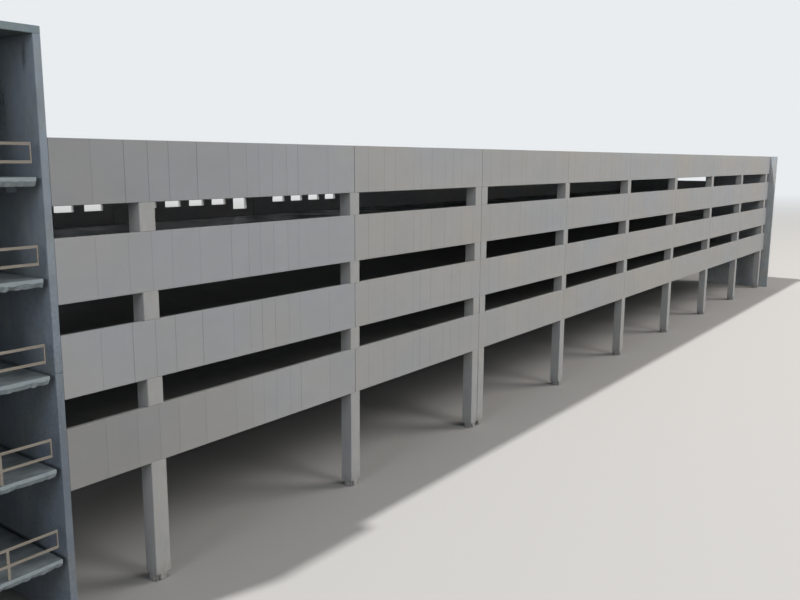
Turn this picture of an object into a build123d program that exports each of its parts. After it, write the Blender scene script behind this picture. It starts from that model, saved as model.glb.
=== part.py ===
"""Multi storey car park of precast concrete, modelled at one tenth of its real size.

Millimetres, +Z up. The long front faces -Y, and +X runs along it from the stair tower
to the far end. The origin is on the ground, under the middle of the outline.
Each size is the real one divided by ten, so 1 mm here is 10 mm on the building.
"""

import os

from build123d import *

os.makedirs("parts", exist_ok=True)

# Column grid along the front
bay_length = 1097.0
bay_count = 8
column_width = 64.0
column_depth = 61.0
left_overhang = 343.0
right_overhang = 143.0
doubled_line_index = 2
doubled_column_width = 62.0
expansion_gap = 4.0

# Corner blockouts at the column feet, where the anchor bolts stand
blockout_width = 18.0
blockout_height = 26.0

# Heights
ground_clearance = 455.0
storey_height = 305.0
spandrel_height = 206.0
floor_below_top = 135.0
level_count = 4

# Spandrels and the ledges that carry the deck
spandrel_thickness = 20.0
ledge_depth = 20.0
ledge_height = 25.0
ledge_end_gap = 3.0
panel_joint = 2.0

# Double tees of the decks
tees_per_bay = 3
flange_thickness = 10.0
stem_top_width = 20.0
stem_bottom_width = 14.0
deck_end_gap = 1.0
column_notch_gap = 2.0
dap_gap = 2.0

# Rear wall, punched in the bays nearest the tower, once deeper beside the expansion joint
building_depth = 1829.0
opened_bay_count = 3
rear_wall_thickness = 25.0
rear_opening_width = 118.0
rear_opening_height = 115.0
rear_opening_below_stems = 35.0
rear_opening_shift = 58.0
deeper_opening_height = 150.0

# End walls and end spandrels
end_wall_thickness = 28.0
end_wall_length = 695.0
end_wall_projection = 70.0
end_seat_gap = 0.3

# Stair tower
tower_width = 549.0
tower_wall = 25.0
tower_above_parapet = 320.0
tower_roof_thickness = 23.0
landing_thickness = 30.0
landing_below_top = 117.0
landing_count = 5
landing_side_gap = 18.0
landing_back_gap = 1.0
landing_ledge_depth = 32.0
landing_ledge_height = 20.0
landing_ledge_setback = 150.0

# Timber guard rails on the landings: two standing posts, and battens at the free ends
rail_thickness = 3.8
rail_height = 8.9
batten_width = 3.8
top_rail_level = 102.0
middle_rail_level = 49.0
rail_end_gap = 25.0
rail_setback = 6.0
rail_post_inset = 165.0

# Places worked out from the sizes above
garage_length = left_overhang + bay_count * bay_length + right_overhang
total_length = tower_width + garage_length + end_wall_thickness
tower_left = -total_length / 2
garage_left = tower_left + tower_width
garage_right = garage_left + garage_length
front = end_wall_projection - (building_depth + end_wall_projection) / 2
rear = front + building_depth
spandrel_inner = front + spandrel_thickness
rear_inner = rear - rear_wall_thickness
grid_lines = [garage_left + left_overhang + i * bay_length for i in range(bay_count + 1)]
spandrel_bases = [ground_clearance + i * storey_height for i in range(level_count)]
floors = [base + spandrel_height - floor_below_top for base in spandrel_bases]
parapet_top = spandrel_bases[-1] + spandrel_height
tee_depth = spandrel_height - floor_below_top
tee_width = bay_length / tees_per_bay
stem_spacing = tee_width / 2
tower_wall_top = parapet_top + tower_above_parapet - tower_roof_thickness
landing_tops = [parapet_top - landing_below_top - i * storey_height for i in range(landing_count)]


def save(part, name, height=0.0):
    """Labels a finished piece, raised to its height, and writes it as a STEP file."""
    piece = part.moved(Location((0, 0, height)))
    piece.label = name
    export_step(piece, f"parts/{name}.step")


def column_spans():
    """Left and right faces of every front column, in order along the front."""
    spans = []
    for index, line in enumerate(grid_lines):
        if index == doubled_line_index:
            inner = expansion_gap / 2
            spans.append((line - inner - doubled_column_width, line - inner))
            spans.append((line + inner, line + inner + doubled_column_width))
        else:
            spans.append((line - column_width / 2, line + column_width / 2))
    return spans


def clear_spans():
    """Lengths of the front between the columns, where ledges can run."""
    faces = [face for span in column_spans() for face in span]
    starts = [garage_left] + faces[1::2]
    ends = faces[0::2] + [garage_right]
    narrow = 2 * ledge_end_gap + expansion_gap
    return [(start, end) for start, end in zip(starts, ends) if end - start > narrow]


def jointed_spans(joints):
    """Left and right edges of panels that are parted at the joints, from end to end."""
    half = panel_joint / 2
    lefts = [garage_left + end_seat_gap] + [joint + half for joint in joints]
    rights = [joint - half for joint in joints] + [garage_right - end_seat_gap]
    return list(zip(lefts, rights))


def tee_spans():
    """Left and right edges of every double tee, from the tower to the far end."""
    joints = [grid_lines[0] + i * tee_width for i in range(bay_count * tees_per_bay + 1)]
    return jointed_spans(joints)


def stem_centres():
    """Middle of every stem: two under a full tee, one under the narrow end strip."""
    centres = []
    for left, right in tee_spans():
        middle = (left + right) / 2
        if right - left > stem_spacing:
            centres += [middle - stem_spacing / 2, middle + stem_spacing / 2]
        else:
            centres.append(middle)
    return centres


def make_columns(spans):
    """Columns pocketed in front for the spandrels and blocked out at the feet."""
    with BuildPart() as columns:
        with BuildSketch():
            for left, right in spans:
                with Locations((left, front)):
                    Rectangle(right - left, column_depth, align=Align.MIN)
        extrude(amount=floors[-1])
        with BuildSketch(Plane.XZ.offset(-front)):
            with Locations(*[(0, base) for base in spandrel_bases]):
                Rectangle(total_length, spandrel_height, align=(Align.CENTER, Align.MIN))
        extrude(amount=-spandrel_thickness, mode=Mode.SUBTRACT)
        with BuildSketch():
            for span in spans:
                for face in span:
                    with Locations((face, front), (face, front + column_depth)):
                        Rectangle(2 * blockout_width, 2 * blockout_width)
        extrude(amount=blockout_height, mode=Mode.SUBTRACT)
    return columns.part


# Front columns, the expansion joint pair apart from the single ones
all_spans = column_spans()
single_spans = all_spans[:doubled_line_index] + all_spans[doubled_line_index + 2 :]
save(make_columns(single_spans), "front_columns")
save(make_columns(all_spans[doubled_line_index : doubled_line_index + 2]), "expansion_joint_columns")

# Front spandrels: panels parted on the column lines, with a ledge between the columns
with BuildPart() as front_spandrels:
    with BuildSketch(Plane.XZ.offset(-front)):
        for left, right in jointed_spans(grid_lines[1:]):
            with Locations((left, 0)):
                Rectangle(right - left, spandrel_height, align=Align.MIN)
    extrude(amount=-spandrel_thickness)
    with BuildSketch(Plane.XZ.offset(-spandrel_inner)):
        for left, right in clear_spans():
            with Locations((left + ledge_end_gap, 0)):
                Rectangle(right - left - 2 * ledge_end_gap, ledge_height, align=Align.MIN)
    extrude(amount=-ledge_depth)

# Deck: double tees with their floor at zero, notched round the columns, and their
# stems dapped in front so that they sit on the ledges within the spandrels' height
deck_front = spandrel_inner + deck_end_gap
deck_rear = rear_inner - deck_end_gap
with BuildPart() as deck:
    with BuildSketch(Plane.XZ.offset(-deck_front)):
        for left, right in tee_spans():
            with Locations((left, 0)):
                Rectangle(right - left, flange_thickness, align=(Align.MIN, Align.MAX))
        with Locations(*[(centre, -flange_thickness) for centre in stem_centres()]):
            Polygon(
                (-stem_top_width / 2, 0),
                (-stem_bottom_width / 2, flange_thickness - tee_depth),
                (stem_bottom_width / 2, flange_thickness - tee_depth),
                (stem_top_width / 2, 0),
                align=None,
            )
    extrude(amount=deck_front - deck_rear)
    with BuildSketch():
        for left, right in column_spans():
            with Locations((left - column_notch_gap, front)):
                Rectangle(
                    right - left + 2 * column_notch_gap,
                    column_depth + column_notch_gap,
                    align=Align.MIN,
                )
    extrude(amount=-flange_thickness, mode=Mode.SUBTRACT)
    with BuildSketch(Plane.XY.offset(-tee_depth)):
        with Locations((0, deck_front)):
            Rectangle(
                total_length,
                ledge_depth - deck_end_gap + dap_gap,
                align=(Align.CENTER, Align.MIN),
            )
    extrude(amount=ledge_height, mode=Mode.SUBTRACT)

# Levels: the ground is level 1, so the first deck is level 2
for level, (base, floor) in enumerate(zip(spandrel_bases, floors), start=2):
    save(front_spandrels.part, f"front_spandrels_level_{level}", base)
    save(deck.part, f"deck_level_{level}", floor)


def make_rear_wall(height):
    """One storey of rear wall panels, their top at zero, with openings and a ledge.

    The openings are as far apart as the deck stems, shifted towards the far end from
    midway between two of them, and there is none beside a grid line.
    """
    opening_top = -tee_depth - rear_opening_below_stems
    shifted_lines = [line + rear_opening_shift for line in grid_lines]
    deeper_opening = shifted_lines[doubled_line_index] - stem_spacing
    openings = [shifted_lines[0] - stem_spacing]
    for line in shifted_lines[:opened_bay_count]:
        openings += [line + i * stem_spacing for i in range(1, 2 * tees_per_bay)]
    with BuildPart() as wall:
        with BuildSketch(Plane.XZ.offset(-rear)):
            for left, right in jointed_spans(grid_lines):
                with Locations((left, 0)):
                    Rectangle(right - left, height, align=(Align.MIN, Align.MAX))
            with Locations(*[(middle, opening_top) for middle in openings]):
                Rectangle(
                    rear_opening_width,
                    rear_opening_height,
                    align=(Align.CENTER, Align.MAX),
                    mode=Mode.SUBTRACT,
                )
            with Locations((deeper_opening, opening_top)):
                Rectangle(
                    rear_opening_width,
                    deeper_opening_height,
                    align=(Align.CENTER, Align.MAX),
                    mode=Mode.SUBTRACT,
                )
        extrude(amount=rear_wall_thickness)
        with BuildSketch(Plane.XZ.offset(-rear_inner)):
            for left, right in jointed_spans(grid_lines):
                with Locations((left + ledge_end_gap, -tee_depth)):
                    Rectangle(
                        right - left - 2 * ledge_end_gap,
                        ledge_height,
                        align=(Align.MIN, Align.MAX),
                    )
        extrude(amount=ledge_depth)
    return wall.part


# Rear wall, storey by storey, and the plain parapet above the roof deck
save(make_rear_wall(floors[0]), "rear_wall_level_1", floors[0])
upper_wall = make_rear_wall(storey_height)
for level, floor in enumerate(floors[1:], start=2):
    save(upper_wall, f"rear_wall_level_{level}", floor)

with BuildPart() as rear_parapet:
    with BuildSketch(Plane.XZ.offset(-rear)):
        for left, right in jointed_spans(grid_lines):
            with Locations((left, floors[-1])):
                Rectangle(right - left, floor_below_top, align=Align.MIN)
    extrude(amount=rear_wall_thickness)
save(rear_parapet.part, "rear_parapet")


def make_end_wall(left, start, end):
    """A plain full-height wall panel across one end, from start to end in Y."""
    with BuildPart() as wall:
        with BuildSketch():
            with Locations((left, start)):
                Rectangle(end_wall_thickness, end - start, align=Align.MIN)
        extrude(amount=parapet_top)
    return wall.part


def make_end_spandrels(left):
    """The spandrels of one end, between its two wall panels."""
    start = front + end_wall_length + end_seat_gap
    end = rear - end_wall_length - end_seat_gap
    with BuildPart() as spandrels:
        with BuildSketch(Plane.YZ.offset(left)):
            with Locations(*[(start, base) for base in spandrel_bases]):
                Rectangle(end - start, spandrel_height, align=Align.MIN)
        extrude(amount=spandrel_thickness)
    return spandrels.part


# Ends of the garage; the right front panel stands out past the front
left_end = garage_left - end_wall_thickness
save(
    make_end_wall(garage_right, front - end_wall_projection, front + end_wall_length),
    "right_end_wall_front",
)
save(make_end_wall(garage_right, rear - end_wall_length, rear), "right_end_wall_rear")
save(make_end_wall(left_end, rear - end_wall_length, rear), "left_end_wall_rear")
save(
    make_end_spandrels(garage_right + end_wall_thickness - spandrel_thickness),
    "right_end_spandrels",
)
save(make_end_spandrels(left_end), "left_end_spandrels")


def make_tower_side_wall(wall_left, ledge_left):
    """A side wall of the stair tower with a ledge under each landing."""
    with BuildPart() as wall:
        with BuildSketch():
            with Locations((wall_left, front)):
                Rectangle(tower_wall, end_wall_length, align=Align.MIN)
        extrude(amount=tower_wall_top)
        with BuildSketch(Plane.XZ.offset(-front - landing_ledge_setback)):
            with Locations(*[(ledge_left, top - landing_thickness) for top in landing_tops]):
                Rectangle(
                    landing_ledge_depth, landing_ledge_height, align=(Align.MIN, Align.MAX)
                )
        extrude(amount=-(end_wall_length - tower_wall - landing_ledge_setback))
    return wall.part


# Stair tower: side walls, back wall, roof, landings and their guard rails
tower_inner_left = tower_left + tower_wall
tower_inner_right = garage_left - tower_wall
tower_inner_width = tower_inner_right - tower_inner_left
save(
    make_tower_side_wall(tower_inner_right, tower_inner_right - landing_ledge_depth),
    "stair_tower_right_wall",
)
save(make_tower_side_wall(tower_left, tower_inner_left), "stair_tower_left_wall")

with BuildPart() as stair_tower_back_wall:
    with BuildSketch():
        with Locations((tower_inner_left, front + end_wall_length)):
            Rectangle(tower_inner_width, tower_wall, align=(Align.MIN, Align.MAX))
    extrude(amount=tower_wall_top)
save(stair_tower_back_wall.part, "stair_tower_back_wall")

with BuildPart() as stair_tower_roof:
    with BuildSketch(Plane.XY.offset(tower_wall_top)):
        with Locations((tower_left, front)):
            Rectangle(tower_width, end_wall_length, align=Align.MIN)
    extrude(amount=tower_roof_thickness)
save(stair_tower_roof.part, "stair_tower_roof")

with BuildPart() as stair_tower_landings:
    with BuildSketch(Plane.XZ.offset(-front)):
        with Locations(*[(tower_inner_left + landing_side_gap, top) for top in landing_tops]):
            Rectangle(
                tower_inner_width - 2 * landing_side_gap,
                landing_thickness,
                align=(Align.MIN, Align.MAX),
            )
    extrude(amount=-(end_wall_length - tower_wall - landing_back_gap))
save(stair_tower_landings.part, "stair_tower_landings")

rail_left = tower_inner_left + rail_end_gap
rail_right = tower_inner_right - rail_end_gap
with BuildPart() as stair_tower_guard_rails:
    with BuildSketch(Plane.XZ.offset(-front - rail_setback)):
        for top in landing_tops:
            for rail_top in (top_rail_level, middle_rail_level):
                with Locations((rail_left, top + rail_top)):
                    Rectangle(rail_right - rail_left, rail_height, align=(Align.MIN, Align.MAX))
            for post in (rail_left + rail_post_inset, rail_right - rail_post_inset):
                with Locations((post, top)):
                    Rectangle(rail_height, top_rail_level, align=(Align.CENTER, Align.MIN))
            with Locations((rail_left, top + top_rail_level)):
                Rectangle(batten_width, top_rail_level - middle_rail_level, align=(Align.MIN, Align.MAX))
            with Locations((rail_right, top + top_rail_level)):
                Rectangle(batten_width, top_rail_level - middle_rail_level, align=Align.MAX)
    extrude(amount=-rail_thickness)
save(stair_tower_guard_rails.part, "stair_tower_guard_rails")
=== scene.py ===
"""Dresses the 1:10 precast car park and sets up its studio picture.

Lengths in the dataclasses are model millimetres, so 1 mm is 10 mm on the real building.
Blender works in metres, and MM turns one into the other.
"""
import logging
import math
import random
from bisect import bisect
from contextlib import contextmanager
from dataclasses import dataclass, replace
from enum import Enum
from functools import cache
from typing import Any, Callable, Iterator, Sequence

import bmesh
import bpy
from mathutils import Matrix, Vector, noise


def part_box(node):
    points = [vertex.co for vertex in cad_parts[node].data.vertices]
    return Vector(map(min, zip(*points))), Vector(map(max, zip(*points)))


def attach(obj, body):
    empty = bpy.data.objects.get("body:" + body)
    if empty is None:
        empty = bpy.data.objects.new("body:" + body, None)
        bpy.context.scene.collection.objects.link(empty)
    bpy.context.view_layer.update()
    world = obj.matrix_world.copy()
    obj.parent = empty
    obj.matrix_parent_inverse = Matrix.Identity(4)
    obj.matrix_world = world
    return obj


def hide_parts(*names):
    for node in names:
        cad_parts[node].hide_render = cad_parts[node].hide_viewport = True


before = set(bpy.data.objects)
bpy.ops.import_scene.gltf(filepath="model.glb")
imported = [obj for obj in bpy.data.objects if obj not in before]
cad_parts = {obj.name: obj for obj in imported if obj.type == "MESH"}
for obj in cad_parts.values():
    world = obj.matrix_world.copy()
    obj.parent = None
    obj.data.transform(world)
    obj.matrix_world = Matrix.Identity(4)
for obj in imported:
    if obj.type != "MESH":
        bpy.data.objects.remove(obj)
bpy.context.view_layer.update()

LOG = logging.getLogger("car_park")
MM = 0.001
BODY = "root"
BAY = 1097.0
TEES_PER_BAY = 3
# How near a corner has to be to a plane to count as on it, in metres
TOUCH = 2e-5
# Faces that meet at less than this are one flat face, and edges sharper than the other are chamfered
FLAT_DEG = 1.0
SHARP_DEG = 50.0
# How squarely a face looks along a direction to count as facing it
FACING = 0.9
# The face attributes that hold a casting's change of tone with painted shade, and how much warmer its batch
# is
TONE_AND_SHADE = "casting"
BATCH = "batch"
# The grain of the paste, drawn coarser than it is so that it shows
PASTE_GRAIN = (2.5, 2.5, 2.5)

Socket = bpy.types.NodeSocket
Piece = bpy.types.Object


def linear(hex_colour: str) -> tuple[float, float, float, float]:
    """Turns an sRGB hex colour into linear RGBA.

    Args:
        hex_colour: Six hex digits with a leading hash.

    Returns:
        Linear red, green, blue and an alpha of one.
    """
    channels = [int(hex_colour[i : i + 2], 16) / 255 for i in (1, 3, 5)]
    return tuple(c / 12.92 if c <= 0.04045 else ((c + 0.055) / 1.055) ** 2.4 for c in channels) + (1.0,)


class Graph:
    """The nodes of one material or world, with short ways to say what they do."""

    def __init__(self, owner: bpy.types.Material | bpy.types.World, coords: str = "Object") -> None:
        """Empties the owner's node tree and adds its coordinates.

        Args:
            owner: The new material or world.
            coords: Which coordinates its nodes start from.
        """
        owner.use_nodes = True
        self.owner = owner
        self.tree = owner.node_tree
        self.tree.nodes.clear()
        self.coords = self.add("TexCoord").outputs[coords]

    def add(self, kind: str, inputs: dict[Any, Any] | None = None, **settings: Any) -> bpy.types.Node:
        """Adds a shader node, sets its properties and fills its sockets.

        Args:
            kind: The node's type name after its first part, ShaderNode.
            inputs: Values or output sockets, keyed by the input's name or number.
            settings: Properties of the node itself.

        Returns:
            The new node.
        """
        node = self.tree.nodes.new(f"ShaderNode{kind}")
        for key, value in settings.items():
            setattr(node, key, value)
        for key, value in (inputs or {}).items():
            if isinstance(value, Socket):
                self.tree.links.new(value, node.inputs[key])
            else:
                node.inputs[key].default_value = value
        return node

    def math(self, operation: str, *values: Any, use_clamp: bool = False) -> Socket:
        """Adds one step of arithmetic.

        Args:
            operation: What is done with the values.
            values: One or two numbers or sockets.
            use_clamp: Whether the result is kept between nought and one.

        Returns:
            The result.
        """
        step = self.add("Math", dict(enumerate(values)), operation=operation, use_clamp=use_clamp)
        return step.outputs[0]

    def ranged(
        self, value: Socket, source: Sequence[float] = (0.0, 1.0), target: Sequence[float] = (0.0, 1.0),
        smooth: bool = False,
    ) -> Socket:
        """Maps a value from one range to another.

        Args:
            value: The value.
            source: Least and most of the value.
            target: What these two turn into.
            smooth: Whether it eases in and out between them.

        Returns:
            The value in its new range.
        """
        ends = {"From Min": source[0], "From Max": source[1], "To Min": target[0], "To Max": target[1]}
        kind = "SMOOTHSTEP" if smooth else "LINEAR"
        return self.add("MapRange", {"Value": value, **ends}, interpolation_type=kind).outputs[0]

    def counted(self, vector: Socket, lengths: Sequence[float]) -> Socket:
        """Measures a vector in lengths of its own for each axis.

        Args:
            vector: The vector, in metres.
            lengths: The lengths along X, Y and Z, in model millimetres.

        Returns:
            How many of these lengths the vector has along each axis.
        """
        per_metre = tuple(1 / (length * MM) for length in lengths)
        return self.add("VectorMath", {0: vector, 1: per_metre}, operation="MULTIPLY").outputs[0]

    def noise(
        self, size: float | Sequence[float], detail: float, roughness: float = 0.5, distortion: float = 0.0
    ) -> Socket:
        """Adds noise.

        Args:
            size: How long its marks are, or how long along X, Y and Z, in model millimetres.
            detail: How many finer marks lie over the first.
            roughness: How strong the finer marks are.
            distortion: How far the marks are pulled out of shape.

        Returns:
            A value around a half.
        """
        if isinstance(size, float):
            vector, scale = self.coords, 1 / (size * MM)
        else:
            vector, scale = self.counted(self.coords, size), 1.0
        inputs = {"Vector": vector, "Scale": scale, "Detail": detail, "Roughness": roughness}
        return self.add("TexNoise", {**inputs, "Distortion": distortion}).outputs["Fac"]

    def blend(self, share: Socket, first: Any, second: Any) -> Socket:
        """Mixes two colours.

        Args:
            share: How much of the second colour there is.
            first: The first colour.
            second: The second colour.

        Returns:
            The mixed colour.
        """
        return self.add("Mix", {"Factor": share, 6: first, 7: second}, data_type="RGBA").outputs[2]

    def dimmed(self, colour: Socket, factor: Socket) -> Socket:
        """Multiplies a colour.

        Args:
            colour: The colour.
            factor: How much of it is left.

        Returns:
            The darker or lighter colour.
        """
        return self.add("VectorMath", {0: colour, "Scale": factor}, operation="SCALE").outputs[0]

    def close(
        self, looks: dict[str, Any], relief: Socket, strength: float, depth: float
    ) -> bpy.types.Material:
        """Ends a material with its relief, its shader and its output.

        Args:
            looks: The shader's colour, roughness and other inputs, keyed by name.
            relief: The height of the surface.
            strength: How strongly the relief shows.
            depth: Depth of the relief, in model millimetres.

        Returns:
            The finished material.
        """
        bump = self.add("Bump", {"Height": relief, "Strength": strength, "Distance": depth * MM})
        shader = self.add("BsdfPrincipled", {**looks, "Normal": bump.outputs[0]})
        self.add("OutputMaterial", {"Surface": shader.outputs[0]})
        return self.owner


def add_object(name: str, data: bpy.types.ID) -> bpy.types.Object:
    """Puts a new object into the scene.

    Args:
        name: The object's name.
        data: Its mesh, camera or lamp.

    Returns:
        The object.
    """
    new = bpy.data.objects.new(name, data)
    bpy.context.scene.collection.objects.link(new)
    return new


@dataclass(frozen=True)
class Pattern:
    """Marks of one size that lighten and darken a surface.

    size is how long a mark is along X, Y and Z, strength is how far the tone swings, and detail is
    how many finer marks lie over the first.
    """

    size: tuple[float, float, float]
    strength: float
    detail: float = 3.0

    def gain(self, graph: Graph) -> Socket:
        """Adds the pattern to a material.

        Args:
            graph: The material's nodes.

        Returns:
            A factor around one.
        """
        marks = graph.noise(self.size, self.detail, roughness=0.55)
        return graph.ranged(marks, (0.28, 0.72), (1 - self.strength, 1 + self.strength))


@dataclass(frozen=True)
class Patch:
    """One soft-edged patch: the node it is on, its middle from there and half its size.

    Some are dark runs of water and some are painted shade; a strength below nought makes a pale patch
    of painted light. The middle is measured from the node's lowest corner, and ragged is the size of
    its edge's waves.
    """

    node: str
    middle: tuple[float, float, float]
    reach: tuple[float, float, float]
    strength: float
    ragged: float = 12.0

    def gain(self, graph: Graph) -> Socket:
        """Adds the stain to a material.

        Args:
            graph: The material's nodes.

        Returns:
            A factor of one that changes towards the patch's middle.
        """
        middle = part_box(self.node)[0] + Vector(self.middle) * MM
        away = graph.add("VectorMath", {0: graph.coords, 1: middle}, operation="SUBTRACT").outputs[0]
        reaches = graph.counted(away, self.reach)
        far = graph.add("VectorMath", {0: reaches}, operation="LENGTH").outputs["Value"]
        distance = graph.math("ADD", far, graph.noise(self.ragged, detail=3.0))
        return graph.ranged(distance, (0.6, 1.5), (1 - self.strength, 1.0), smooth=True)


class Weather(Enum):
    """What lies over a concrete surface: soil, dust and drips, and on the wet deck painted light."""

    CLEAN = "clean"
    SPLASH = "splash"
    DUST_AND_PAINTED_LIGHT = "dust_and_painted_light"
    DRIPS = "drips"


@dataclass(frozen=True)
class ConcreteFinish:
    """Precast concrete from a steel form: smooth matt paste with clouds, streaks and small voids.

    The paste drifts between a cool and a warm grey, and castings have tones of their own. Some finishes
    also carry painted shade and painted light in their patches, face tones and overlay.
    """

    name: str
    slot: str
    cool: str
    warm: str
    patterns: tuple[Pattern, ...]
    drift: float = 170.0
    casting_strength: float = 0.07
    casting_length: float = 0.0
    void_spacing: float = 7.0
    void_depth: float = 0.5
    roughness: float = 0.86
    roughness_swing: tuple[float, float] = (-0.1, 0.08)
    weather: Weather = Weather.CLEAN
    soil_and_painted_light: str = "#6b6458"
    soil_and_painted_light_amount: float = 0.35
    splash_height: float = 90.0
    splashes: Pattern = Pattern((14.0, 14.0, 30.0), 0.9, 4.0)
    dust_and_painted_light: Pattern = Pattern((90.0, 60.0, 60.0), 0.9, 6.0)
    # Where water ran down, and the lines that it left there
    drip_places: Pattern = Pattern((75.0, 75.0, 330.0), 1.0, 2.0)
    drips: Pattern = Pattern((7.0, 7.0, 190.0), 1.0, 4.0)
    wet_roughness: float = 0.0
    stains_and_painted_light: tuple[Patch, ...] = ()

    def material(self) -> bpy.types.Material:
        """Builds the node material.

        Returns:
            The finished material.
        """
        graph = Graph(bpy.data.materials.new(self.name))
        tone = self._casting_tone_and_shade(graph)
        for mark in self.patterns + self.stains_and_painted_light:
            tone = graph.math("MULTIPLY", tone, mark.gain(graph))
        clouds = graph.noise(self.drift, detail=3.0, roughness=0.6)
        batch = graph.add("Attribute", attribute_name=BATCH).outputs["Fac"]
        warmth = graph.math("ADD", graph.ranged(clouds, (0.35, 0.65)), batch, use_clamp=True)
        paste = graph.blend(warmth, linear(self.cool), linear(self.warm))
        colour, covered = self._overlaid(graph, graph.dimmed(paste, tone))
        voids = self._voids(graph)
        smooth, rough = (self.roughness + change for change in self.roughness_swing)
        sheen = graph.ranged(clouds, target=(smooth, rough))
        if self.wet_roughness:
            inputs = {"Factor": covered, 2: sheen, 3: self.wet_roughness}
            sheen = graph.add("Mix", inputs, data_type="FLOAT").outputs[0]
        looks = {"Roughness": sheen, "IOR": 1.5, "Specular IOR Level": 0.3}
        looks["Base Color"] = graph.dimmed(colour, voids)
        return graph.close(looks, voids, strength=0.6, depth=self.void_depth)

    def _casting_tone_and_shade(self, graph: Graph) -> Socket:
        """Gives each casting its own tone, from a face value or from its place in a regular row.

        The face value also holds painted shade.

        Args:
            graph: The material's nodes.

        Returns:
            A factor around one.
        """
        if not self.casting_length:
            change = graph.add("Attribute", attribute_name=TONE_AND_SHADE).outputs["Fac"]
            return graph.math("ADD", change, 1.0)
        along = graph.add("SeparateXYZ", {0: graph.coords}).outputs[0]
        whole = graph.math("FLOOR", graph.math("MULTIPLY", along, 1 / (self.casting_length * MM)))
        value = graph.add("TexWhiteNoise", {"W": whole}, noise_dimensions="1D").outputs["Value"]
        return graph.ranged(value, target=(1 - self.casting_strength, 1 + self.casting_strength))

    def _voids(self, graph: Graph) -> Socket:
        """Strews small air voids over the face.

        Args:
            graph: The material's nodes.

        Returns:
            One where the face is sound, and less inside each void.
        """
        inputs = {"Vector": graph.coords, "Scale": 1 / (self.void_spacing * MM), "Randomness": 1.0}
        distance = graph.add("TexVoronoi", inputs).outputs["Distance"]
        return graph.ranged(distance, (0.03, 0.1), (0.55, 1.0))

    def _overlaid(self, graph: Graph, colour: Socket) -> tuple[Socket, Socket | None]:
        """Lays soil, dust or drips over the paste, and on the wet deck near-white painted light.

        Args:
            graph: The material's nodes.
            colour: The paste's colour.

        Returns:
            The colour with the overlay on it, and how far the overlay covers the paste.
        """
        if self.weather is Weather.CLEAN:
            return colour, None
        if self.weather is Weather.SPLASH:
            # Mud thrown up by rain, thick at the ground and gone at hip height
            height = graph.add("SeparateXYZ", {0: graph.coords}).outputs[2]
            top = self.splash_height * MM
            amount = graph.ranged(height, (0.0, top), (self.soil_and_painted_light_amount, 0.0), smooth=True)
            marks = self.splashes
        elif self.weather is Weather.DUST_AND_PAINTED_LIGHT:
            # Site dust and dried puddles lie on what faces up; on the wet deck it is near-white painted
            # light
            normal = graph.add("NewGeometry").outputs["Normal"]
            up = graph.add("SeparateXYZ", {0: normal}).outputs[2]
            amount = graph.ranged(up, (0.5, 0.9), (0.0, self.soil_and_painted_light_amount))
            marks = self.dust_and_painted_light
        else:
            # Water that ran down here and there and left uneven dark lines
            amount = graph.math("MULTIPLY", self.drip_places.gain(graph), self.soil_and_painted_light_amount)
            marks = self.drips
        patchy = graph.math("MULTIPLY", amount, marks.gain(graph), use_clamp=True)
        return graph.blend(patchy, colour, linear(self.soil_and_painted_light)), patchy


@dataclass(frozen=True)
class TimberFinish:
    """Rough sawn softwood, grey tan with darker late wood along the board and a dry surface."""

    name: str
    slot: str
    pale: str = "#8f877b"
    dark: str = "#716b61"
    # How long a mark of late wood is along X, as the boards lie, and how thick, drawn coarse to show
    grain: tuple[float, float, float] = (60.0, 0.9, 0.9)
    grain_depth: float = 0.2
    roughness: float = 0.82

    def material(self) -> bpy.types.Material:
        """Builds the node material.

        Returns:
            The finished material.
        """
        graph = Graph(bpy.data.materials.new(self.name))
        grain = graph.noise(self.grain, detail=5.0, distortion=0.4)
        share = graph.ranged(grain, (0.35, 0.68))
        colour = graph.blend(share, linear(self.pale), linear(self.dark))
        looks = {"Base Color": colour, "Roughness": self.roughness}
        return graph.close(looks, grain, strength=0.5, depth=self.grain_depth)


@dataclass(frozen=True)
class PlainFinish:
    """A made-up product with one colour, such as sealant or galvanised steel, slightly uneven."""

    name: str
    slot: str
    light: str
    dark: str
    metallic: float
    roughness: float
    roughness_swing: float = 0.1
    mark: float = 4.0
    unevenness: float = 0.1

    def material(self) -> bpy.types.Material:
        """Builds the node material.

        Returns:
            The finished material.
        """
        graph = Graph(bpy.data.materials.new(self.name))
        marks = graph.noise(self.mark, detail=4.0)
        share = graph.ranged(marks, (0.35, 0.65))
        colour = graph.blend(share, linear(self.dark), linear(self.light))
        swing = (self.roughness - self.roughness_swing, self.roughness + self.roughness_swing)
        looks = {"Base Color": colour, "Metallic": self.metallic}
        looks["Roughness"] = graph.ranged(marks, target=swing)
        return graph.close(looks, marks, strength=0.3, depth=self.unevenness)


Finish = ConcreteFinish | TimberFinish | PlainFinish


@cache
def material_of(finish: Finish) -> bpy.types.Material:
    """Builds a finish's material the first time, and gives the same one after that."""
    return finish.material()


# Spandrel panels: neutral to buff grey architectural face, cast face down in a steel form
SPANDREL = ConcreteFinish(
    "spandrel_architectural_concrete", "spandrel_concrete", "#949597", "#9a9791",
    (Pattern((150.0, 60.0, 90.0), 0.025), Pattern((14.0, 14.0, 200.0), 0.006), Pattern(PASTE_GRAIN, 0.03)),
    drift=900.0,
)
# Columns: the same steel-form grey, a little paler, muddy at the foot
COLUMN = ConcreteFinish(
    "column_steel_form_concrete", "column_concrete", "#979797", "#9b9994",
    (Pattern((40.0, 40.0, 90.0), 0.05), Pattern((6.0, 6.0, 60.0), 0.025), Pattern(PASTE_GRAIN, 0.04)),
    weather=Weather.SPLASH,
)
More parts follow.
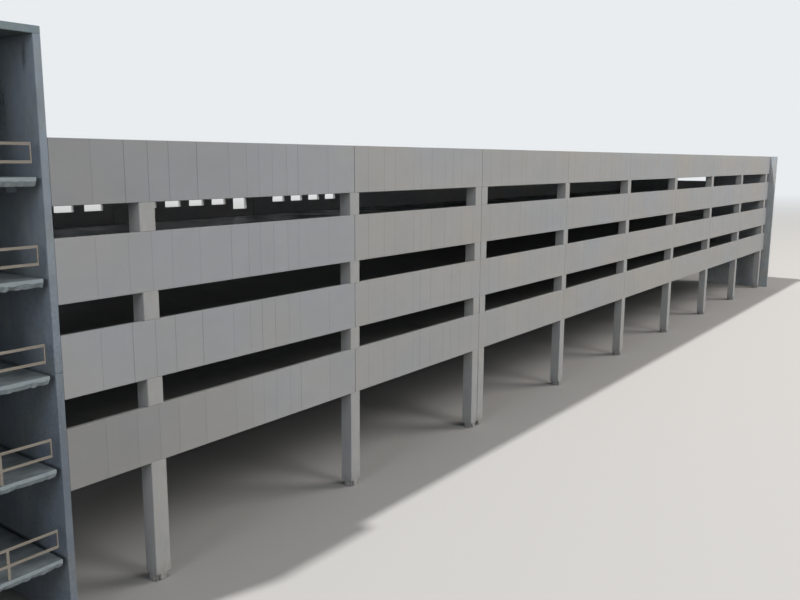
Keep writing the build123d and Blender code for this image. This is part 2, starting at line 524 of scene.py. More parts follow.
# Tower walls: blue-grey, blotchy where the form oil and water lay
WALL = ConcreteFinish(
    "wall_blue_grey_concrete", "wall_concrete", "#7f8893", "#848b8e",
    (Pattern((75.0, 75.0, 130.0), 0.09, 4.0), Pattern((24.0, 24.0, 40.0), 0.06), Pattern(PASTE_GRAIN, 0.05)),
    drift=120.0, weather=Weather.DRIPS, soil_and_painted_light="#50565b", soil_and_painted_light_amount=0.06,
)
# The tower's right wall: dark runs on its inner face below the roof and further in, painted shade deep
# inside under the roof, and painted shade over the lower part of its front
STAINED_AND_SHADED_WALL = replace(
    WALL, name="wall_blue_grey_concrete_stained_and_shaded",
    stains_and_painted_light=(
        Patch("stair_tower_right_wall", (31.5, 55.5, 1815.0), (9.0, 17.0, 62.0), 0.55),
        Patch("stair_tower_right_wall", (31.5, 189.5, 1690.0), (9.0, 8.0, 55.0), 0.4),
        Patch("stair_tower_right_wall", (31.5, 215.5, 1682.0), (9.0, 8.0, 60.0), 0.4),
        # Painted shade deep inside the tower, below the roof
        Patch("stair_tower_right_wall", (31.5, 239.5, 1690.0), (12.0, 75.0, 210.0), 0.45),
        # Painted shade over the lower front of the wall, darker towards the bottom
        Patch("stair_tower_right_wall", (45.5, -4.5, 450.0), (60.0, 300.0, 900.0), 0.32),
    ),
)
# End walls: the tower walls' concrete made paler and greyer, as painted light on their dimly lit faces
PAINTED_LIGHT_END_WALL = replace(WALL, name="end_wall_painted_lighter_concrete", cool="#94999d", warm="#979995")
# Tower roof: the same mix with a grey-green film where rain stands
ROOF = ConcreteFinish(
    "roof_grey_green_concrete", "wall_concrete", "#76828a", "#75807c",
    (Pattern((30.0, 30.0, 30.0), 0.07, 4.0), Pattern((9.0, 9.0, 9.0), 0.06), Pattern(PASTE_GRAIN, 0.05)),
    drift=60.0,
)
# Rear wall: grey structural face, muddy at the foot
REAR_WALL = ConcreteFinish(
    "rear_wall_structural_concrete", "rear_wall_concrete", "#8d9092", "#93918c",
    (Pattern((70.0, 70.0, 70.0), 0.06, 4.0), Pattern((9.0, 9.0, 150.0), 0.03), Pattern(PASTE_GRAIN, 0.05)),
    drift=400.0, weather=Weather.SPLASH,
)
# Double tees: steel-form underside and a roughened, dusty top where water stands
DECK = ConcreteFinish(
    "deck_broomed_concrete", "deck_concrete", "#888b8e", "#8f8d88",
    (Pattern((120.0, 60.0, 60.0), 0.08, 5.0), Pattern((3.0, 90.0, 3.0), 0.05), Pattern(PASTE_GRAIN, 0.07)),
    casting_length=BAY / TEES_PER_BAY, casting_strength=0.09, weather=Weather.DUST_AND_PAINTED_LIGHT, soil_and_painted_light="#8a8985",
    soil_and_painted_light_amount=0.45,
)
# The deck below the roof deck: rain water in long, less rough patches, made near-white as painted light
# and painted reflection of the daylight, most behind the first two bays
WET_PAINTED_LIGHT_DECK = replace(
    DECK, name="deck_broomed_concrete_wet_painted_light", soil_and_painted_light="#eef1f4", soil_and_painted_light_amount=0.6, wet_roughness=0.5,
    dust_and_painted_light=Pattern((220.0, 230.0, 60.0), 1.6, 6.0),
    # A pale patch of painted light, most behind the first two bays
    stains_and_painted_light=(Patch("deck_level_4", (1470.2, 1508.5, 71.0), (1300.0, 800.0, 90.0), -2.2),),
)
# Landings: trowelled, soiled top and a pale, rough front edge
LANDING = ConcreteFinish(
    "landing_pale_concrete", "wall_concrete", "#889096", "#8b9393",
    (Pattern((20.0, 20.0, 8.0), 0.10, 4.0), Pattern((3.0, 3.0, 3.0), 0.10)),
    drift=40.0, weather=Weather.DUST_AND_PAINTED_LIGHT, soil_and_painted_light="#565d61", soil_and_painted_light_amount=0.6,
    dust_and_painted_light=Pattern((90.0, 60.0, 60.0), 0.6, 5.0),
)
# Guard rails: rough sawn softwood that the weather has greyed
RAIL_TIMBER = TimberFinish("rail_sawn_softwood", "sawn_timber")
# Polyurethane sealant: dull dark brown-grey with a slight skin
SEALANT = PlainFinish("joint_polyurethane_sealant", "joint_sealant", "#443f3a", "#332f2b", 0.0, 0.62)
# Hot-dip galvanised steel, dulled by cement dust
STEEL = PlainFinish("galvanised_steel_dulled", "galvanised_steel", "#a3a5a4", "#85827e", 0.5, 0.6)


def activate(*pieces: Piece) -> None:
    """Selects objects and nothing else.

    Args:
        pieces: The objects, the active one first.
    """
    bpy.ops.object.select_all(action="DESELECT")
    for piece in pieces:
        piece.select_set(True)
    bpy.context.view_layer.objects.active = pieces[0]


@contextmanager
def editing(piece: Piece, mode: str) -> Iterator[None]:
    """Opens a piece in edit mode with nothing selected, and closes it again.

    Args:
        piece: The mesh object.
        mode: VERT, EDGE or FACE.
    """
    activate(piece)
    bpy.ops.object.mode_set(mode="EDIT")
    bpy.ops.mesh.select_mode(type=mode)
    bpy.ops.mesh.select_all(action="DESELECT")
    yield
    bpy.ops.object.mode_set(mode="OBJECT")


def choose(piece: Piece, kind: str, test: Callable[[Any], bool]) -> None:
    """Selects the vertices, edges or faces of an open piece that pass a test.

    Args:
        piece: The mesh object, in edit mode.
        kind: verts, edges or faces.
        test: Says whether one of them is chosen.
    """
    mesh = bmesh.from_edit_mesh(piece.data)
    for item in getattr(mesh, kind):
        item.select_set(test(item))
    mesh.select_flush_mode()
    bmesh.update_edit_mesh(piece.data)


def from_node(node: str, name: str) -> Piece:
    """Copies a CAD node as a clean mesh with whole flat faces.

    Args:
        node: The CAD node's name.
        name: The new piece's name.

    Returns:
        The new mesh object.
    """
    piece = add_object(name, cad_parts[node].data.copy())
    activate(piece)
    bpy.ops.mesh.customdata_custom_splitnormals_clear()
    with editing(piece, "VERT"):
        bpy.ops.mesh.select_all(action="SELECT")
        bpy.ops.mesh.remove_doubles(threshold=TOUCH)
        bpy.ops.mesh.dissolve_limited(angle_limit=math.radians(FLAT_DEG))
    bpy.ops.object.shade_flat()
    return piece


def chamfer(piece: Piece, width: float) -> None:
    """Breaks every outer corner of a piece, as the fillet strips of a form do.

    Args:
        piece: The mesh object.
        width: Width of the chamfer, in model millimetres.
    """
    sharp = math.radians(SHARP_DEG)
    with editing(piece, "EDGE"):
        choose(
            piece, "edges",
            lambda edge: edge.is_manifold and edge.is_convex and edge.calc_face_angle(0.0) > sharp,
        )
        bpy.ops.mesh.bevel(
            offset=width * MM, offset_type="OFFSET", segments=1, affect="EDGES", clamp_overlap=True
        )


def cut(piece: Piece, places: Sequence[float], axis: int) -> None:
    """Cuts a piece's faces by planes square to an axis, without parting it.

    Args:
        piece: The mesh object.
        places: Where the planes stand along the axis, in metres.
        axis: 0, 1 or 2 for X, Y or Z.
    """
    square = tuple(1.0 if i == axis else 0.0 for i in range(3))
    with editing(piece, "VERT"):
        for place in places:
            bpy.ops.mesh.select_all(action="SELECT")
            bpy.ops.mesh.bisect(plane_co=tuple(place * s for s in square), plane_no=square)


def groove(piece: Piece, places: Sequence[float], width: float, depth: float, face: float) -> None:
    """Presses upright V grooves into the face that looks towards -Y.

    Args:
        piece: The mesh object.
        places: The grooves' middles along X, in metres.
        width: Width of a groove, in model millimetres.
        depth: Depth of a groove, in model millimetres.
        face: Where the face stands along Y, in metres.
    """
    half = width * MM / 2
    cut(piece, [place + side for place in places for side in (-half, 0.0, half)], 0)
    with editing(piece, "VERT"):
        choose(
            piece, "verts",
            lambda v: abs(v.co.y - face) < TOUCH and any(abs(v.co.x - place) < TOUCH for place in places),
        )
        bpy.ops.transform.translate(value=(0.0, depth * MM, 0.0))


def moved_copy(piece: Piece, name: str, offset: Vector) -> Piece:
    """Copies a piece with its own mesh and moves that mesh.

    Args:
        piece: The mesh object to copy.
        name: The copy's name.
        offset: How far the copy stands from the piece, in metres.

    Returns:
        The copy.
    """
    copy = add_object(name, piece.data.copy())
    copy.data.transform(Matrix.Translation(offset))
    return copy


def joined(name: str, pieces: Sequence[Piece]) -> Piece:
    """Joins pieces into one object.

    Args:
        name: The object's name.
        pieces: The mesh objects.

    Returns:
        The joined mesh object.
    """
    activate(*pieces)
    if len(pieces) > 1:
        bpy.ops.object.join()
    whole = bpy.context.view_layer.objects.active
    whole.name = name
    return whole


def block(name: str, low: Vector, high: Vector) -> Piece:
    """Adds a cube primitive, sized and placed in its mesh, as a start for a piece.

    Args:
        name: The object's name.
        low: Lowest corner, in metres.
        high: Highest corner, in metres.

    Returns:
        The mesh object, at the origin.
    """
    bpy.ops.object.select_all(action="DESELECT")
    bpy.ops.mesh.primitive_cube_add(size=1.0, location=(low + high) / 2)
    piece = bpy.context.active_object
    piece.name = name
    piece.scale = high - low
    bpy.ops.object.transform_apply(location=True, rotation=True, scale=True)
    return piece


def enlist(piece: Piece, finish: Finish, *nodes: str) -> None:
    """Dresses a finished piece, lets it ride on the building and reports it.

    Args:
        piece: The mesh object.
        finish: What it is finished in.
        nodes: CAD nodes that the piece stands for.
    """
    piece.data.materials.clear()
    piece.data.materials.append(material_of(finish))
    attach(piece, BODY)
    if nodes:
        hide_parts(*nodes)
    LOG.info("%s: %d faces", piece.name, len(piece.data.polygons))


def dress_node(node: str, finish: Finish) -> None:
    """Finishes a CAD node that stays as it is.

    Args:
        node: The CAD node's name.
        finish: What it is finished in.
    """
    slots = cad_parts[node].data.materials
    slots.clear()
    slots.append(material_of(finish))
    LOG.info("%s: CAD node, dressed", node)


def cast(width: float, finish: ConcreteFinish, *nodes: str) -> None:
    """Copies CAD nodes as castings with broken corners, and dresses them.

    Args:
        width: Width of the chamfer, in model millimetres.
        finish: The castings' finish.
        nodes: The CAD nodes' names.
    """
    for node in nodes:
        piece = from_node(node, f"{node}_cast")
        chamfer(piece, width)
        enlist(piece, finish, node)


@dataclass(frozen=True)
class SealedJoint:
    """Sealant in joints that stand square to X, its face hollowed inside a rim."""

    facing: tuple[float, float, float]
    width: float = 2.0
    rim: float = 0.45
    hollow: float = 0.5

    def fill(
        self, name: str, places: Sequence[float], spans: Sequence[tuple[Sequence[float], Sequence[float]]]
    ) -> None:
        """Puts a bead in every joint and dresses them as one piece.

        Args:
            name: The piece's name.
            places: The joints' middles along X, in metres.
            spans: Lowest and highest Y and Z of a bead, in metres, for each row of joints.
        """
        half = self.width * MM / 2
        beads = [
            block("bead", Vector((place - half, *low)), Vector((place + half, *high)))
            for low, high in spans
            for place in places
        ]
        bead = joined(name, beads)
        outwards = Vector(self.facing)
        with editing(bead, "FACE"):
            choose(bead, "faces", lambda face: face.normal.dot(outwards) > FACING)
            bpy.ops.mesh.inset(thickness=self.rim * MM, depth=-self.hollow * MM, use_individual=True)
        enlist(bead, SEALANT)


@dataclass(frozen=True)
class Grid:
    """The column grid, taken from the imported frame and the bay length."""

    bay: float = BAY
    left_overhang: float = 343.0
    bay_count: int = 8
    seat_gap: float = 0.3

    @property
    def left(self) -> float:
        """The garage's left end along X, in metres."""
        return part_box("front_spandrels_level_2")[0].x - self.seat_gap * MM

    @property
    def front(self) -> float:
        """The front face along Y, in metres."""
        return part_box("front_spandrels_level_2")[0].y

    @property
    def lines(self) -> list[float]:
        """The column lines along X, in metres."""
        return [self.left + (self.left_overhang + i * self.bay) * MM for i in range(self.bay_count + 1)]


@dataclass
class FrontSpandrels:
    """The four bands of the front: panels with upright reveals between strips of uneven width."""

    grid: Grid
    levels: tuple[int, ...] = (2, 3, 4, 5)
    chamfer_width: float = 1.9
    reveal_width: float = 3.0
    reveal_depth: float = 0.5
    # Dirt and painted shade in the reveals: the least and what chance adds, both fading out along the front
    reveal_dirt_and_shade: tuple[float, float] = (0.09, 0.24)
    panel_swing: float = 0.012
    strip_swing: float = 0.009
    # Painted shade: how much darker each band is at the tower, and how far along it fades out
    tower_painted_shades: tuple[float, ...] = (0.24, 0.0, 0.0, 0.18)
    painted_shade_length: float = 1000.0
    # How much warmer the grey is than it drifts to, before the first joint and after it
    batch_warmth: tuple[float, float] = (-0.35, 0.0)
    # Strip widths from the tower to the first joint, and in each bay after it
    long_strips: tuple[float, ...] = (
        140.0, 122.0, 92.0, 85.0, 123.0, 150.0, 87.0, 63.0, 72.0, 80.0, 65.0, 184.0,
    )
    bay_strips: tuple[float, ...] = (96.0, 118.0, 87.0, 150.0, 63.0, 92.0, 123.0, 72.0, 85.0, 122.0)
    joint: SealedJoint = SealedJoint((0.0, -1.0, 0.0))
    sealant_recess: float = 1.9
    sealant_thickness: float = 8.0
    # A face is the side of a reveal where its normal has this much along X and this much outwards
    reveal_lean: float = 0.1
    reveal_outwards: float = 0.5
    seed: int = 7

    def reveals(self) -> list[float]:
        """Works out where the reveals stand.

        Returns:
            The middles of all reveals along X, in metres.
        """
        places = []
        starts = [(self.grid.left, self.long_strips)]
        starts += [(line, self.bay_strips) for line in self.grid.lines[1:-1]]
        for start, strips in starts:
            run = start
            for strip in strips:
                run += strip * MM
                places.append(run)
        return places

    def build(self) -> None:
        """Models the lowest band, copies it up the front, dresses every band and seals the joints."""
        dice = random.Random(self.seed)
        reveals = self.reveals()
        nodes = [f"front_spandrels_level_{level}" for level in self.levels]
        first = from_node(nodes[0], f"spandrel_band_level_{self.levels[0]}")
        chamfer(first, self.chamfer_width)
        groove(first, reveals, self.reveal_width, self.reveal_depth, self.grid.front)
        bands = [first]
        for level, node in zip(self.levels[1:], nodes[1:]):
            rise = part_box(node)[0].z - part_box(nodes[0])[0].z
            bands.append(moved_copy(first, f"spandrel_band_level_{level}", Vector((0, 0, rise))))
        for band, node, painted_shade in zip(bands, nodes, self.tower_painted_shades):
            self.tint(band, reveals, painted_shade, dice)
            enlist(band, SPANDREL, node)
        self.seal_joints(nodes)

    def tint(self, band: Piece, reveals: Sequence[float], painted_shade: float, dice: random.Random) -> None:
        """Gives every face the tone of its panel, strip and batch, painted shade near the tower, and every
        reveal its own dirt and painted shade.

        Args:
            band: The band's mesh object.
            reveals: The reveals' middles along X, in metres, in order.
            painted_shade: How much painted shade darkens the band at the tower.
            dice: Where the tones come from.
        """
        joints = self.grid.lines[1:]
        edges = sorted([*reveals, *joints])
        panel_tones = [dice.uniform(-self.panel_swing, self.panel_swing) for _ in range(len(joints) + 1)]
        strip_tones = [dice.uniform(-self.strip_swing, self.strip_swing) for _ in range(len(edges) + 1)]
        least, more = self.reveal_dirt_and_shade
        dirt_and_shade = [
            (least + more * dice.random() ** 3) * (1 - index / len(reveals)) for index in range(len(reveals))
        ]
        half = self.reveal_width * MM / 2
        values = []
        for face in band.data.polygons:
            across = face.center.x
            tone = panel_tones[bisect(joints, across)] + strip_tones[bisect(edges, across)]
            # Painted shade, darkest at the tower end
            tone -= painted_shade * max(0.0, 1 - (across - self.grid.left) / (self.painted_shade_length * MM))
            # Reveal faces darkened with dirt and painted shade
            if abs(face.normal.x) > self.reveal_lean and face.normal.y < -self.reveal_outwards:
                index = bisect(reveals, across - half)
                if index < len(reveals) and reveals[index] < across + half:
                    tone -= dirt_and_shade[index]
            values.append(tone)
        tones = band.data.attributes.new(TONE_AND_SHADE, "FLOAT", "FACE")
        tones.data.foreach_set("value", values)
        warmths = [self.batch_warmth[face.center.x > joints[0]] for face in band.data.polygons]
        batches = band.data.attributes.new(BATCH, "FLOAT", "FACE")
        batches.data.foreach_set("value", warmths)

    def seal_joints(self, nodes: Sequence[str]) -> None:
        """Fills the joints between panels with sealant.

        Args:
            nodes: The bands' CAD nodes.
        """
        near = self.grid.front + self.sealant_recess * MM
        far = near + self.sealant_thickness * MM
        end = self.chamfer_width * MM
        spans = [((near, low.z + end), (far, high.z - end)) for low, high in map(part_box, nodes)]
        self.joint.fill("spandrel_joint_sealant", self.grid.lines[1:], spans)


@dataclass
class Columns:
    """The front columns with broken corners, and the bolted feet in their blockouts."""

    grid: Grid
    chamfer_width: float = 1.9
    column_width: float = 64.0
    column_depth: float = 61.0
    doubled_line: int = 2
    doubled_width: float = 62.0
    expansion_gap: float = 4.0
    blockout: float = 18.0
    plate: float = 14.0
    plate_thickness: float = 2.2
    rod_radius: float = 1.6
    rod_height: float = 15.0
    nut_radius: float = 3.0
    nut_height: float = 2.8
    washer_radius: float = 4.2
    washer_height: float = 0.6
    plate_chamfer: float = 0.4
    turned_chamfer: float = 0.25

    def faces(self) -> list[tuple[float, float]]:
        """Works out where the columns stand.

        Returns:
            The left and right faces of every column along X, in metres.
        """
        spans = []
        for index, line in enumerate(self.grid.lines):
            if index == self.doubled_line:
                inner = self.expansion_gap / 2 * MM
                width = self.doubled_width * MM
                spans += [(line - inner - width, line - inner), (line + inner, line + inner + width)]
            else:
                half = self.column_width / 2 * MM
                spans.append((line - half, line + half))
        return spans

    def build(self) -> None:
        """Models and dresses the columns and their feet."""
        cast(self.chamfer_width, COLUMN, "front_columns", "expansion_joint_columns")
        self.bolt_feet()

    def bolt_feet(self) -> None:
        """Puts a plate, an anchor rod, a washer and a nut in every blockout."""
        foot = self.foot()
        middle = self.blockout / 2 * MM
        front, back = self.grid.front, self.grid.front + self.column_depth * MM
        places = [
            Vector((x, y, 0.0))
            for left, right in self.faces()
            for x in (left + middle, right - middle)
            for y in (front + middle, back - middle)
        ]
        copies = [moved_copy(foot, "foot", place) for place in places]
        bpy.data.objects.remove(foot)
        enlist(joined("column_anchor_feet", copies), STEEL)

    def foot(self) -> Piece:
        """Models one plate with its rod, washer and nut.

        Returns:
            The mesh object, on the ground at the origin.
        """
        half, top = self.plate / 2 * MM, self.plate_thickness * MM
        plate = block("plate", Vector((-half, -half, 0.0)), Vector((half, half, top)))
        chamfer(plate, self.plate_chamfer)
        parts = [plate]
        # Sides, radius, lower end and height of the washer, the nut and the rod
        stack = (
            (32, self.washer_radius, top / MM, self.washer_height),
            (6, self.nut_radius, top / MM + self.washer_height, self.nut_height),
            (12, self.rod_radius, top / MM, self.rod_height),
        )
        for sides, radius, low, height in stack:
            middle = (low + height / 2) * MM
            bpy.ops.object.select_all(action="DESELECT")
            bpy.ops.mesh.primitive_cylinder_add(
                vertices=sides, radius=radius * MM, depth=height * MM, location=(0, 0, middle)
            )
            turned = bpy.context.active_object
            bpy.ops.object.transform_apply(location=True, rotation=True, scale=True)
            chamfer(turned, self.turned_chamfer)
            parts.append(turned)
        return joined("foot", parts)


@dataclass
class Decks:
    """The double tees: the CAD nodes stay, with sealed joints and welded plates on top."""

    grid: Grid
    levels: tuple[int, ...] = (2, 3, 4, 5)
    wet_painted_light_level: int = 4
    joint: SealedJoint = SealedJoint((0.0, 0.0, 1.0), rim=0.4, hollow=0.4)
    sealant_recess: float = 0.6
    sealant_depth: float = 6.0
    front_notch: float = 70.0
    plate_pitch: float = 240.0
    plate_length: float = 15.0
    plate_width: float = 9.0
    plate_proud: float = 0.3
    plate_anchorage: float = 1.0
    plate_chamfer: float = 0.2

    def build(self) -> None:
        """Dresses the decks, seals their joints and lets in the weld plates."""
        for level in self.levels:
            dress_node(f"deck_level_{level}", WET_PAINTED_LIGHT_DECK if level == self.wet_painted_light_level else DECK)
        joints = [
            self.grid.lines[0] + i * self.grid.bay / TEES_PER_BAY * MM
            for i in range(self.grid.bay_count * TEES_PER_BAY + 1)
        ]
        spans = []
        for level in self.levels:
            low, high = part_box(f"deck_level_{level}")
            top = high.z - self.sealant_recess * MM
            spans.append(((low.y + self.front_notch * MM, top - self.sealant_depth * MM), (high.y, top)))
        self.joint.fill("deck_joint_sealant", joints, spans)
        self.weld_plates(joints)

    def weld_plates(self, joints: Sequence[float]) -> None:
        """Lets plates into the roof deck over its joints.

        Args:
            joints: The joints' middles along X, in metres.
        """
        low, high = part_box(f"deck_level_{self.levels[-1]}")
        rows = int((high.y - low.y) / (self.plate_pitch * MM))
        model = block(
            "plate", Vector((-self.plate_width / 2, -self.plate_length / 2, -self.plate_anchorage)) * MM,
            Vector((self.plate_width / 2, self.plate_length / 2, self.plate_proud)) * MM,
        )
        chamfer(model, self.plate_chamfer)
        plates = [
            moved_copy(model, "plate", Vector((joint, low.y + (row + 1) * self.plate_pitch * MM, high.z)))
            for joint in joints
            for row in range(rows)
        ]
        bpy.data.objects.remove(model)
        enlist(joined("roof_deck_weld_plates", plates), STEEL)


@dataclass
class OuterWalls:
    """Rear wall, parapet, end walls and end spandrels, with broken corners."""

    grid: Grid
    rear_levels: tuple[int, ...] = (1, 2, 3, 4)
    chamfer_width: float = 1.2
    joint: SealedJoint = SealedJoint((0.0, 1.0, 0.0))
    sealant_recess: float = 1.0
    sealant_thickness: float = 8.0

    def build(self) -> None:
        """Models and dresses every wall."""
        width = self.chamfer_width
        rear = [f"rear_wall_level_{level}" for level in self.rear_levels]
        cast(width, REAR_WALL, *rear, "rear_parapet")
        self.seal_joints()
        cast(width, PAINTED_LIGHT_END_WALL, "right_end_wall_front", "right_end_wall_rear", "left_end_wall_rear")
        cast(width, SPANDREL, "right_end_spandrels", "left_end_spandrels")

    def seal_joints(self) -> None:
        """Fills the rear wall's upright joints from the ground to the parapet's top."""
        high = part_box("rear_parapet")[1]
        end = self.chamfer_width * MM
        far = high.y - self.sealant_recess * MM
        near = far - self.sealant_thickness * MM
        span = ((near, end), (far, high.z - end))
        self.joint.fill("rear_wall_joint_sealant", self.grid.lines, [span])


@dataclass
class StairTower:
    """The open stair tower: stacked wall panels, roof, landings and timber guard rails."""

    chamfer_width: float = 1.2
    joint_height: float = 849.0
    joint_width: float = 5.0
    joint_depth: float = 3.0
    stained_and_shaded_wall: str = "stair_tower_right_wall"
    landing_count: int = 5
    landing_thickness: float = 30.0
    landing_chamfer: float = 0.8
    rail_chamfer: float = 0.3
    storey_height: float = 305.0
    # The landings' front edge: an even band on top, and a ragged, set-back part below it
    even_edge: float = 12.0
    edge_cuts: int = 90
    edge_wave: float = 34.0
    edge_contrast: float = 0.8
    edge_octaves: int = 4
    edge_sway: float = 3.0
    edge_rise: float = 4.5
    edge_setback: tuple[float, float] = (5.0, 14.0)
    # Corners this near the front are the edge's own, and this near the underside its lower ones
    edge_reach: float = 2.0
    underside_reach: float = 1.5

    def build(self) -> None:
        """Models and dresses the tower."""
        for node in ("stair_tower_right_wall", "stair_tower_left_wall", "stair_tower_back_wall"):
            piece = from_node(node, f"{node}_cast")
            chamfer(piece, self.chamfer_width)
            self.press_joint(piece)
            enlist(piece, STAINED_AND_SHADED_WALL if node == self.stained_and_shaded_wall else WALL, node)
        cast(self.chamfer_width, ROOF, "stair_tower_roof")
        self.landings()
        self.rails()

    def press_joint(self, piece: Piece) -> None:
        """Presses the level joint between the stacked wall panels into all faces.

        Args:
            piece: The wall's mesh object.
        """
        middle = self.joint_height * MM
        half = self.joint_width * MM / 2
        cut(piece, [middle - half, middle, middle + half], 2)
        with editing(piece, "VERT"):
            choose(piece, "verts", lambda v: abs(v.co.z - middle) < TOUCH)
            bpy.ops.transform.shrink_fatten(value=-self.joint_depth * MM)

    def landings(self) -> None:
        """Models the landing slabs, whose front edge is ragged below an even band."""
        piece = from_node("stair_tower_landings", "stair_tower_landings_cast")
        chamfer(piece, self.landing_chamfer)
        low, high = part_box("stair_tower_landings")
        tops = [high.z - level * self.storey_height * MM for level in range(self.landing_count)]
        step = (high.x - low.x) / (self.edge_cuts + 1)
        cut(piece, [low.x + step * (i + 1) for i in range(self.edge_cuts)], 0)
        cut(piece, [top - self.even_edge * MM for top in tops], 2)
        least, most = self.edge_setback
        with editing(piece, "VERT"):
            mesh = bmesh.from_edit_mesh(piece.data)
            for vert in mesh.verts:
                if vert.co.y > low.y + self.edge_reach * MM:
                    continue
                top = min(top for top in tops if top > vert.co.z - TOUCH)
                below = (top - vert.co.z) / MM
                place = Vector((vert.co.x, 0.0, top))
                if abs(below - self.even_edge) * MM < TOUCH:
                    vert.co.z += (2 * self.ragged(place) - 1) * self.edge_sway * MM
                elif below > self.landing_thickness - self.underside_reach:
                    broken = self.ragged(-place)
                    vert.co.z += broken * self.edge_rise * MM
                    vert.co.y += (least + broken * (most - least)) * MM
            bmesh.update_edit_mesh(piece.data)
        enlist(piece, LANDING, "stair_tower_landings")

    def ragged(self, place: Vector) -> float:
        """How far the landings' edge has broken away at a place, from nought to one."""
        wave = noise.fractal(place / (self.edge_wave * MM), 1.0, 2.0, self.edge_octaves)
        return min(1.0, max(0.0, 0.5 + self.edge_contrast * wave))

    def rails(self) -> None:
        """Models the guard rails' boards with worn corners."""
        piece = from_node("stair_tower_guard_rails", "stair_tower_guard_rails_boards")
        chamfer(piece, self.rail_chamfer)
        enlist(piece, RAIL_TIMBER, "stair_tower_guard_rails")


@dataclass(frozen=True)
class PhotoCamera:
    """The photograph's viewpoint, in real metres from the front's left top corner.

    The corner is where the top of the parapet meets the stair tower.
    """

    back: float = 23.277
    left: float = 13.708
    below_top: float = 0.596
    yaw_deg: float = 36.437
    pitch_deg: float = 9.780
    roll_deg: float = 0.320
    focal_px: float = 815.0
    frame_width_px: float = 800.0
    sensor_mm: float = 36.0
    sight_m: float = 300.0
    model_scale: float = 0.1

    def place(self, corner: Vector) -> None:
        """Adds the camera and makes it the scene's own.

        Args:
            corner: Where the parapet's top meets the stair tower, in model metres.
        """
        yaw, pitch, roll = (math.radians(a) for a in (self.yaw_deg, self.pitch_deg, self.roll_deg))
        look = Vector(
            (math.cos(yaw) * math.cos(pitch), math.sin(yaw) * math.cos(pitch), -math.sin(pitch))
        )
        level = look.cross(Vector((0.0, 0.0, 1.0))).normalized()
        upright = level.cross(look)
        right = level * math.cos(roll) + upright * math.sin(roll)
        up = upright * math.cos(roll) - level * math.sin(roll)
        data = bpy.data.cameras.new("photo_camera")
        data.sensor_width = self.sensor_mm
        data.lens = self.focal_px / self.frame_width_px * self.sensor_mm
        data.clip_end = self.sight_m
        camera = add_object("photo_camera", data)
        place = corner + Vector((-self.left, -self.back, -self.below_top)) * self.model_scale
        turn = Matrix((right, up, -look)).transposed().to_4x4()
        camera.matrix_world = Matrix.Translation(place) @ turn
        bpy.context.scene.camera = camera


@dataclass(frozen=True)
class Softbox:
    """A square lamp with an even, soft light."""

    name: str
    place: tuple[float, float, float]
    target: tuple[float, float, float]
    size: float
    power: float
    hex_colour: str = "#ffffff"

    def add(self) -> None:
        """Adds the lamp, aimed at its target."""
        data = bpy.data.lights.new(self.name, "AREA")
        data.shape = "SQUARE"
        data.size = self.size
        data.energy = self.power
        data.color = linear(self.hex_colour)[:3]
        lamp = add_object(self.name, data)
        place, target = Vector(self.place), Vector(self.target)
        turn = (target - place).to_track_quat("-Z", "Y").to_matrix().to_4x4()
        lamp.matrix_world = Matrix.Translation(place) @ turn


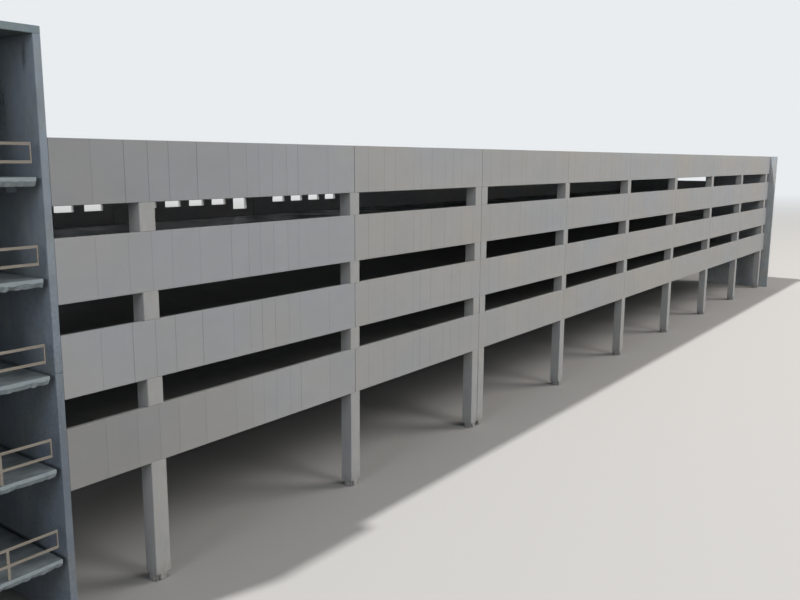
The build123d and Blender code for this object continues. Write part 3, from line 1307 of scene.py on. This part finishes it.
@dataclass(frozen=True)
class Studio:
    """A pale floor, a pale background and soft light at a plain level."""

    floor_half: float = 90.0
    floor_fade: tuple[float, float] = (9.0, 40.0)
    floor_hex: str = "#a09e9b"
    floor_bounce_hex: str = "#504d49"
    backdrop_hex: str = "#e9edf0"
    sky_hex: str = "#eef3f8"
    sky_strength: float = 0.34
    horizon_strength: float = 2.3
    # Height of the view direction where the glow of the horizon begins to fade and ends
    glow_fade: tuple[float, float] = (0.05, 0.3)
    lamps: tuple[Softbox, ...] = (
        Softbox("front_softbox", (10.0, -11.0, 12.0), (1.5, -0.9, 0.8), 8.0, 1850.0, "#fffaf5"),
        Softbox("middle_softbox", (-2.0, -11.0, 7.5), (4.9, -0.9, 0.8), 5.0, 500.0),
        Softbox("left_softbox", (-14.8, -3.0, 4.2), (-4.4, -0.9, 1.2), 3.0, 300.0, "#e6eefa"),
    )
    sun_direction: tuple[float, float, float] = (0.6, -0.18, -1.0)
    sun_strength: float = 4.2
    sun_spread_deg: float = 2.0

    def build(self) -> None:
        """Builds the floor, the world and the lamps."""
        self.floor()
        self.world()
        self.light()

    def floor(self) -> None:
        """Lays the floor, which pales into the backdrop far off and bounces less light than it shows."""
        bpy.ops.object.select_all(action="DESELECT")
        bpy.ops.mesh.primitive_plane_add(size=2 * self.floor_half, location=(0, 0, 0))
        plate = bpy.context.active_object
        plate.name = "studio_floor"
        graph = Graph(bpy.data.materials.new("studio_floor_matt"))
        seen = graph.add("BsdfDiffuse", {"Color": linear(self.floor_hex)}).outputs[0]
        bounced = graph.add("BsdfDiffuse", {"Color": linear(self.floor_bounce_hex)}).outputs[0]
        backdrop = graph.add("Emission", {"Color": linear(self.backdrop_hex)}).outputs[0]
        away = graph.add("VectorMath", {0: graph.coords}, operation="LENGTH").outputs["Value"]
        fade = graph.ranged(away, self.floor_fade, smooth=True)
        far = graph.add("MixShader", {0: fade, 1: seen, 2: backdrop}).outputs[0]
        looks = graph.add("LightPath").outputs["Is Camera Ray"]
        mix = graph.add("MixShader", {0: looks, 1: bounced, 2: far})
        graph.add("OutputMaterial", {"Surface": mix.outputs[0]})
        plate.data.materials.append(graph.owner)

    def world(self) -> None:
        """Makes the world: a sky that glows at the horizon for light, a pale backdrop for the eye."""
        world = bpy.data.worlds.new("studio_world")
        bpy.context.scene.world = world
        graph = Graph(world, "Generated")
        path = graph.add("LightPath").outputs
        looks = path["Is Camera Ray"]
        for extra in ("Is Glossy Ray", "Is Transmission Ray"):
            looks = graph.math("MAXIMUM", looks, path[extra])
        height = graph.add("SeparateXYZ", {0: graph.coords}).outputs[2]
        glow = (self.horizon_strength, self.sky_strength)
        strength = graph.ranged(height, self.glow_fade, glow, smooth=True)
        sky = graph.add("Background", {"Color": linear(self.sky_hex), "Strength": strength}).outputs[0]
        backdrop = graph.add("Background", {"Color": linear(self.backdrop_hex), "Strength": 1.0}).outputs[0]
        mix = graph.add("MixShader", {0: looks, 1: sky, 2: backdrop})
        graph.add("OutputWorld", {"Surface": mix.outputs[0]})

    def light(self) -> None:
        """Adds the soft lamps in front and the sun from behind."""
        for lamp in self.lamps:
            lamp.add()
        sun = bpy.data.lights.new("back_light", "SUN")
        sun.energy = self.sun_strength
        sun.angle = math.radians(self.sun_spread_deg)
        back = add_object("back_light", sun)
        back.matrix_world = Vector(self.sun_direction).to_track_quat("-Z", "Y").to_matrix().to_4x4()


def main() -> None:
    """Places the camera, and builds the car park's pieces in order and the studio."""
    logging.basicConfig(level=logging.INFO, format="%(name)s: %(message)s")
    bpy.context.scene.view_settings.view_transform = "Standard"
    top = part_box("front_spandrels_level_5")
    PhotoCamera().place(Vector((top[0].x, top[0].y, top[1].z)))
    grid = Grid()
    FrontSpandrels(grid).build()
    Columns(grid).build()
    Decks(grid).build()
    OuterWalls(grid).build()
    StairTower().build()
    Studio().build()


if __name__ == "__main__":
    main()
